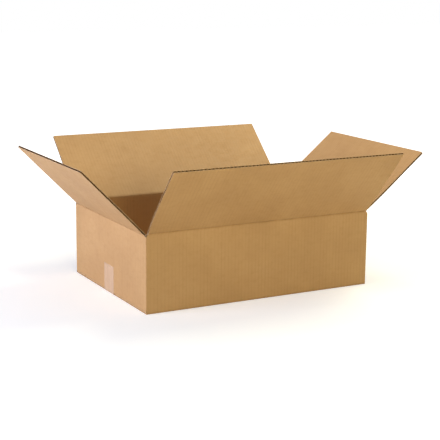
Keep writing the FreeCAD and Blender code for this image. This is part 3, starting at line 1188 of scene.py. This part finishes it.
    def add_tab(self, back: Side) -> None:
        """Adds the glue tab inside the back right corner.

        Args:
            back: back of the box, which the tab is folded from.
        """
        size = self.size
        board = self.board
        face_x = size.half_x - board.thickness
        root = size.half_y - board.thickness
        low = size.short_bottom + size.tab_setback
        high = size.short_top - size.tab_setback
        places = np.linspace(0, size.tab_width, self.tab_columns)
        levels = np.linspace(0, 1, self.tab_levels)
        inset = size.tab_taper * places / size.tab_width
        heights = (low + inset)[None, :] + levels[:, None] * (high - low - 2 * inset)[None, :]
        blank = back.blank_middle - size.half_x - places
        for face, offset, into in ((Face.OUTER, 0.0, -1), (Face.INNER, board.thickness, 1)):
            front = np.empty(heights.shape + (3,))
            front[..., 0] = face_x - offset + into * board.sag_at(blank, face)[None]
            front[..., 1] = (root - places)[None]
            front[..., 2] = heights
            step = np.array([into * board.liner, 0.0, 0.0])
            blank_at = np.stack([np.broadcast_to(blank, heights.shape), heights,
                                 np.full(heights.shape, face.value)], axis=-1)
            self.liners.patch(front, front + step, blank_at, np.zeros(heights.shape))


@dataclass
class TopFlap:
    """One top flap with its crease: two liners and a medium.

    Rows are distances from the crease line, below it or up the flap, and near and far shares are of the
    flap's depth. A wave is the share of the washboard or flutes that shows, and a look is the share of the
    painted shade of a fold.
    """

    size: CartonSize
    side: Side
    # The outer liner's bend, the groove that the creasing wheel left in it, and the reach of its painted
    # shade.
    bend_half: float = 1.2 * MM
    bend_rows: int = 9
    groove: float = 0.6 * MM
    groove_reach: float = 1.2 * MM
    groove_wave: float = 0.15
    crease_shade_reach: float = 2.2 * MM
    # The outer liner beside the bend, where its washboard is pressed flatter.
    rows_below: tuple[float, ...] = (4.0 * MM, 2.6 * MM)
    rows_above: tuple[float, ...] = (1.9 * MM, 2.8 * MM, 4.2 * MM)
    pressed_reach: float = 3.0 * MM
    pressed: float = 0.5
    plain_start: float = 7.0 * MM
    # Both liners up the flat part of the flap: first rows, shares of the depth, and the last row's setback.
    plain_rows: tuple[float, ...] = (0.0, 2.5 * MM, 6.0 * MM, 12.0 * MM)
    near_shares: tuple[float, ...] = (0.18, 0.27, 0.36, 0.46)
    far_shares: tuple[float, ...] = (0.64, 0.82)
    last_row: float = 5.0 * MM
    # The inner liner below and above the crease, and its pinched corner with a shoulder on both sides.
    inner_lap: float = 0.4 * MM
    inner_rise: float = 2.5 * MM
    inner_root_wave: float = 0.6
    pinch: float = 0.86
    corner_wave: float = 0.1
    shoulder_share: float = 0.35
    shoulder_wave: float = 0.2
    shoulder_shade: float = 0.8
    corner_reach: float = 2.6 * MM
    corner_end_wave: float = 0.3
    corner_end_shade: float = 0.2
    # The medium: its lap over the panel's, how open its flutes are, and how far it stops below the edge.
    core_lap: float = 1.5 * MM
    core_lap_wave: float = 0.4
    core_root_wave: float = 0.15
    core_crease_wave: float = 0.02
    core_half_open: Pair = (8.0 * MM, 0.5)
    core_whole: float = 16.0 * MM
    core_short: float = 0.4 * MM
    # How far the flap's sides are drawn in at the crease, and the share of its depth that this reaches.
    root_inset: float = 3.6 * MM
    root_reach: float = 0.42

    def __post_init__(self) -> None:
        """Works out the flap's directions, outwards and upwards, at rest."""
        lean = self.side.lean
        self.board = self.size.board
        self.body = f"{self.side.name}_flap"
        self.zero = self.side.hinge[2]
        self.up_flap = (math.sin(lean), math.cos(lean))
        self.into_flap = (-math.cos(lean), math.sin(lean))
        self.bisector = (math.sin(lean / 2), math.cos(lean / 2))

    def on_flap(self, run: float, depth: float = 0.0) -> Pair:
        """Place on the flap, by distance from the crease and depth below its outer face."""
        return (self.up_flap[0] * run + self.into_flap[0] * depth,
                self.up_flap[1] * run + self.into_flap[1] * depth)

    def add_plain_rows(self, track: Track, start: float, depth: float, into: Pair) -> None:
        """Adds the rows of a liner up the flat part of the flap.

        Args:
            track: path of the liner.
            start: distance of the first row from the crease.
            depth: depth of the liner's surface below the flap's outer face.
            into: direction from its surface into its thickness.
        """
        end = self.side.flap_depth
        first = [start + row for row in self.plain_rows]
        shares = [end * share for share in self.near_shares + self.far_shares]
        for run in (*first, *shares, end - self.last_row, end):
            track.add(self.on_flap(run, depth), into, self.zero + run)

    def narrow(self, track: Track) -> Track:
        """Draws the flap's sides in towards the crease, where the slots on both sides were cut wider.

        Args:
            track: path of one of the flap's sheets.

        Returns:
            The same path.
        """
        run = np.array(track.height) - self.zero
        above = np.clip(run / (self.side.flap_depth * self.root_reach), 0, 1)
        below = np.clip(1 - run / self.side.split, 0, 1)
        track.slim = self.root_inset * np.where(run > 0, (1 - above) ** 2, below)
        return track

    def mark(self, run: float) -> float:
        """Share of the painted fold shade at a distance from the crease line."""
        return float(closeness(run, self.crease_shade_reach))

    def dip(self, run: float) -> float:
        """Depth of the creased groove at a distance from the crease line."""
        return self.groove * float(closeness(run, self.groove_reach))

    def outer_track(self) -> Track:
        """Path of the outer liner, from the wall over the creased groove and up the flap.

        Returns:
            The path.
        """
        start = self.side.split
        track = Track()
        for place in (start, *(-row for row in self.rows_below if -row > start)):
            wave = 1.0 if place < -self.pressed_reach else self.pressed
            track.add((0, place), (-1, 0), self.zero + place, wave, self.mark(place))
        for part in np.linspace(-1, 1, self.bend_rows):
            share = (part + 1) / 2
            angle = self.side.lean * share * share * (3 - 2 * share)
            reach = part * self.bend_half
            middle = (0.0, reach) if part <= 0 else self.on_flap(reach)
            into = (-math.cos(angle), math.sin(angle))
            point = (middle[0] + into[0] * self.dip(reach), middle[1] + into[1] * self.dip(reach))
            track.add(point, into, self.zero + reach, self.groove_wave, self.mark(reach))
        for place in self.rows_above:
            track.add(self.on_flap(place, self.dip(place)), self.into_flap, self.zero + place,
                      self.pressed, self.mark(place))
        self.add_plain_rows(track, self.plain_start, 0.0, self.into_flap)
        return self.narrow(track)

    def inner_track(self) -> Track:
        """Path of the inner liner, from the wall across the crushed crease and up the flap.

        Returns:
            The path.
        """
        thickness = self.board.thickness
        root = self.size.step
        track = Track()
        low = -root - self.inner_lap
        for place in sorted({min(self.side.split, low), low, -root}):
            wave = 1.0 if place < low else self.pressed
            track.add((-thickness, place), (1, 0), self.zero + place, wave)

        corner = (-thickness * self.pinch, thickness * math.tan(self.side.lean / 2) * self.pinch)
        length = math.hypot(*corner)
        to_hinge = (-corner[0] / length, -corner[1] / length)
        from_flap = (-self.into_flap[0], -self.into_flap[1])
        near = self.corner_reach
        wall_end = (-thickness, -near)
        flap_end = self.on_flap(near, thickness)
        ends = (self.corner_end_wave, self.corner_end_shade)
        shoulders = (self.shoulder_wave, self.shoulder_shade)
        share = self.shoulder_share
        track.add(wall_end, (1, 0), self.zero - near, *ends)
        track.add(partway(corner, wall_end, share), partway(to_hinge, (1, 0), 0.5),
                  self.zero - near * share, *shoulders)
        track.add(corner, to_hinge, self.zero, self.corner_wave, 1.0)
        track.add(partway(corner, flap_end, share), partway(to_hinge, from_flap, 0.5),
                  self.zero + near * share, *shoulders)
        track.add(flap_end, from_flap, self.zero + near, *ends)
        track.add(self.on_flap(root, thickness), from_flap, self.zero + root, self.inner_root_wave)
        self.add_plain_rows(track, root + self.inner_rise, thickness, from_flap)
        return self.narrow(track)

    def flute_track(self) -> Track:
        """Path of the medium, crushed flat at the crease and whole further up the flap.

        Returns:
            The path.
        """
        zero = self.zero
        root = self.size.step
        low = -root - self.core_lap
        depth = self.side.flap_depth
        track = Track()
        track.add((0, low), (-1, 0), zero + low, self.core_lap_wave)
        track.add((0, -root), (-1, 0), zero - root, self.core_root_wave)
        track.add((0, 0), (-self.bisector[1], self.bisector[0]), zero, self.core_crease_wave)
        whole = [(run, 1.0) for run in (self.core_whole, *(depth * share for share in self.near_shares),
                                        depth - self.core_short)]
        for run, wave in ((root, self.core_root_wave), self.core_half_open, *whole):
            track.add(self.on_flap(run), self.into_flap, zero + run, wave)
        return self.narrow(track)

    def blanks(self, steps: int) -> np.ndarray:
        """Places across the flutes where a sheet of the flap has vertices."""
        middle = self.side.blank_middle
        return self.board.lines(middle - self.side.flap_half, middle + self.side.flap_half, steps)

    def bend(self, piece: Piece, reach: float) -> None:
        """Works out the unused ends of a bend across the crease, and bakes the piece's place into its mesh.

        Args:
            piece: the piece.
            reach: how far the ends lie on both sides of the crease line.
        """
        ends = [Vector(self.side.place(0, sign * reach * self.bisector[0], sign * reach * self.bisector[1]))
                for sign in (-1, 1)]
        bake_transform(piece)

    def build(self, finishes: Finishes) -> list[Piece]:
        """Builds the flap's three pieces.

        Args:
            finishes: materials of the box.

        Returns:
            The outer liner, the inner liner and the medium.
        """
        side = self.side
        board = self.board
        inner_reach = board.thickness * self.bisector[0] + self.size.step * self.bisector[1]
        liner_lines = self.blanks(board.liner_steps)

        outer = PaperMesh()
        outer.sheet(side, self.outer_track(), liner_lines, board, Face.OUTER)
        outer_liner = outer.build(f"{self.body}_outer_liner", finishes.liner, finishes.cut)
        self.bend(outer_liner, self.groove_reach)
        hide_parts(self.body)

        inner = PaperMesh()
        inner.sheet(side, self.inner_track(), liner_lines, board, Face.INNER)
        inner_liner = inner.build(f"{self.body}_inner_liner", finishes.liner, finishes.cut)
        self.bend(inner_liner, inner_reach)

        core = PaperMesh()
        core.flutes(side, self.flute_track(), self.blanks(board.medium_steps), board)
        flutes = core.build(f"{self.body}_flutes", finishes.flute, finishes.flute)
        self.bend(flutes, inner_reach)
        return [outer_liner, inner_liner, flutes]


@dataclass
class BottomTape:
    """Strip of clear tape under the bottom seam, turned up on both ends, with torn edges."""

    node: ClassVar[str] = "bottom_tape"

    size: CartonSize
    # The teeth that the dispenser's blade left at both ends.
    tooth_depth: float = 1.6 * MM
    tooth_pitch: float = 1.9 * MM
    # Rows up an end panel, round the turn and along half of the bottom.
    rise_shares: tuple[float, ...] = (1.0, 0.93, 0.8, 0.6, 0.4, 0.2, 0.07)
    turn_rows: int = 6
    half_rows: int = 12
    # Thickness of the film here, as a share of the gap that it fills under the board.
    film_share: float = 0.9

    def __post_init__(self) -> None:
        """Reads the tape's box."""
        self.low, self.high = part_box(self.node)
        self.film = self.size.floor - self.low.z
        self.turn_radius = self.size.half_x - self.size.long_flap_half + self.film

    def path(self) -> tuple[np.ndarray, np.ndarray, np.ndarray]:
        """Path of the tape's outer surface along the box.

        Returns:
            Places in X and Z, directions into the film, and distances along the tape.
        """
        radius = self.turn_radius
        centre_x = self.high.x - radius
        centre_z = self.low.z + radius
        points = [(-self.high.x, centre_z + (self.high.z - centre_z) * rise) for rise in self.rise_shares]
        intos = [(1.0, 0.0)] * len(points)
        for angle in np.linspace(2 * QUARTER_TURN, 3 * QUARTER_TURN, self.turn_rows):
            ray = (math.cos(angle), math.sin(angle))
            points.append((-centre_x + radius * ray[0], centre_z + radius * ray[1]))
            intos.append((-ray[0], -ray[1]))
        for place in np.linspace(-centre_x, 0, self.half_rows)[1:]:
            points.append((place, self.low.z))
            intos.append((0.0, 1.0))
        track = np.array(points + [(-x, z) for x, z in points[-2::-1]])
        into = np.array(intos + [(-x, z) for x, z in intos[-2::-1]])
        run = np.concatenate([[0], np.cumsum(np.linalg.norm(np.diff(track, axis=0), axis=1))])
        return track, into, run

    def build(self, finishes: Finishes) -> Piece:
        """Builds the strip.

        Args:
            finishes: materials of the box.

        Returns:
            The strip.
        """
        track, into, run = self.path()
        teeth = round((self.high.y - self.low.y) / self.tooth_pitch)
        across = np.linspace(self.low.y, self.high.y, 2 * teeth + 1)
        front = np.empty((len(track), len(across), 3))
        front[..., 0] = track[:, 0][:, None]
        front[..., 1] = across[None]
        front[..., 2] = track[:, 1][:, None]
        for row in (0, -1):
            front[row, :, 2] -= self.tooth_depth * (np.arange(len(across)) % 2)
        step = np.zeros_like(front)
        step[..., 0] = into[:, 0][:, None] * self.film
        step[..., 2] = into[:, 1][:, None] * self.film
        mesh = PaperMesh()
        mesh.strip(front, front + step * self.film_share, across, run[:, None])
        strip = mesh.build("bottom_tape_film", finishes.film, finishes.film)
        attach(strip, FoldedSheet.body)
        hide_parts(self.node)
        return strip


@dataclass(frozen=True)
class SoftLight:
    """One square soft lamp of the studio, aimed at the box."""

    name: str
    place: Triple
    width: float
    power: float
    colour: Triple
    aim: Triple = (0.0, 0.0, 0.1)

    def make(self) -> None:
        """Adds the lamp to the scene."""
        data = bpy.data.lights.new(self.name, "AREA")
        data.shape = "SQUARE"
        data.size = self.width
        data.energy = self.power
        data.color = self.colour
        lamp = bpy.data.objects.new(self.name, data)
        lamp.location = self.place
        facing = Vector(self.aim) - Vector(self.place)
        lamp.rotation_euler = facing.to_track_quat("-Z", "Y").to_euler()
        bpy.context.scene.collection.objects.link(lamp)


@dataclass
class Studio:
    """Plain pale floor, white surroundings, soft lamps and the camera at the photograph's angle.

    The floor glows to the eye, so that it fades from the box's soft shadow to plain white.
    """

    floor_half: float = 9.0
    floor_colour: Colour = (0.74, 0.74, 0.74, 1.0)
    floor_glow: Band = Band(0.5, 1.3, 0.46, 1.0)
    ambient: Colour = (0.4, 0.65, 1.0, 1.0)
    ambient_strength: float = 0.18
    lamps: tuple[SoftLight, ...] = (
        SoftLight("top_lamp", (1.1, 0.15, 1.7), 1.1, 32.0, (1.0, 0.94, 0.65)),
        SoftLight("back_lamp", (0.1, 1.0, 2.2), 1.4, 8.0, (1.0, 0.8, 0.65)),
        SoftLight("left_lamp", (-2.3, 0.05, 0.6), 1.1, 55.0, (0.83, 0.84, 1.0)),
        SoftLight("front_lamp", (-0.55, -2.4, 0.55), 0.8, 30.0, (1.0, 0.91, 0.57)),
    )
    camera_place: Triple = (-1.1797, -2.1751, 0.6634)
    camera_turn_deg: Triple = (77.807, -0.577, -28.377)
    camera_lens: float = 96.39

    def white_for_eye(self, tree: bpy.types.NodeTree) -> Socket:
        """Adds the test for rays that see the background.

        Args:
            tree: node tree of the floor or the world.

        Returns:
            Socket that is 1 for camera, glossy and transmission rays, and otherwise 0.
        """
        path = tree.nodes.new("ShaderNodeLightPath")
        total = path.outputs["Is Camera Ray"]
        for name in ("Is Glossy Ray", "Is Transmission Ray"):
            either = tree.nodes.new("ShaderNodeMath")
            either.operation = "MAXIMUM"
            tree.links.new(total, either.inputs[0])
            tree.links.new(path.outputs[name], either.inputs[1])
            total = either.outputs[0]
        return total

    def make_world(self) -> None:
        """Adds the surroundings: white to the eye, weaker as light."""
        world = bpy.data.worlds.new("studio_world")
        world.use_nodes = True
        tree = world.node_tree
        tree.nodes.clear()
        mix = tree.nodes.new("ShaderNodeMixShader")
        tree.links.new(self.white_for_eye(tree), mix.inputs[0])
        shades = ((self.ambient, self.ambient_strength), (WHITE, 1.0))
        for socket, (colour, strength) in zip((mix.inputs[1], mix.inputs[2]), shades):
            shade = tree.nodes.new("ShaderNodeBackground")
            shade.inputs["Color"].default_value = colour
            shade.inputs["Strength"].default_value = strength
            tree.links.new(shade.outputs[0], socket)
        output = tree.nodes.new("ShaderNodeOutputWorld")
        tree.links.new(mix.outputs[0], output.inputs["Surface"])
        bpy.context.scene.world = world

    def make_floor(self) -> None:
        """Adds the floor, which keeps the box's soft shadow."""
        graph = Graph("pale_floor")
        seen = self.white_for_eye(graph.tree)
        place = graph.node("ShaderNodeNewGeometry").outputs["Position"]
        distance = graph.node("ShaderNodeVectorMath", {"operation": "LENGTH"}, Vector=place)
        brightness = graph.between(distance.outputs["Value"], self.floor_glow)
        matte = graph.node("ShaderNodeBsdfDiffuse", None, Color=self.floor_colour)
        glow = graph.node("ShaderNodeEmission", None, Color=WHITE,
                          Strength=graph.math("MULTIPLY", seen, brightness))
        both = graph.tree.nodes.new("ShaderNodeAddShader")
        graph.tree.links.new(matte.outputs[0], both.inputs[0])
        graph.tree.links.new(glow.outputs[0], both.inputs[1])

        half = self.floor_half
        corners = [(-half, -half, 0), (half, -half, 0), (half, half, 0), (-half, half, 0)]
        mesh = bpy.data.meshes.new("floor")
        mesh.from_pydata(corners, [], [(0, 1, 2, 3)])
        mesh.materials.append(graph.finish(both))
        floor = bpy.data.objects.new("floor", mesh)
        bpy.context.scene.collection.objects.link(floor)

    def make_camera(self) -> None:
        """Adds the camera and makes it the scene's own."""
        data = bpy.data.cameras.new("camera")
        data.lens = self.camera_lens
        camera = bpy.data.objects.new("camera", data)
        camera.location = self.camera_place
        camera.rotation_euler = [math.radians(turn) for turn in self.camera_turn_deg]
        bpy.context.scene.collection.objects.link(camera)
        bpy.context.scene.camera = camera

    def build(self) -> None:
        """Builds the whole studio."""
        self.make_world()
        self.make_floor()
        self.make_camera()
        for lamp in self.lamps:
            lamp.make()
        bpy.context.scene.view_settings.view_transform = "Standard"


def report(piece: Piece) -> None:
    """Logs a piece's name and its number of faces."""
    LOG.info("%s: %d faces", piece.name, len(piece.data.polygons))


def main() -> None:
    """Builds the box piece by piece, then the studio."""
    logging.basicConfig(level=logging.INFO, format="%(message)s")
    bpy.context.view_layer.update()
    size = CartonSize()
    finishes = Finishes.make(size.board)

    for piece in FoldedSheet(size).build(finishes):
        report(piece)
    for side in size.sides():
        for piece in TopFlap(size, side).build(finishes):
            report(piece)
    report(BottomTape(size).build(finishes))
    Studio().build()


if __name__ == "__main__":
    main()
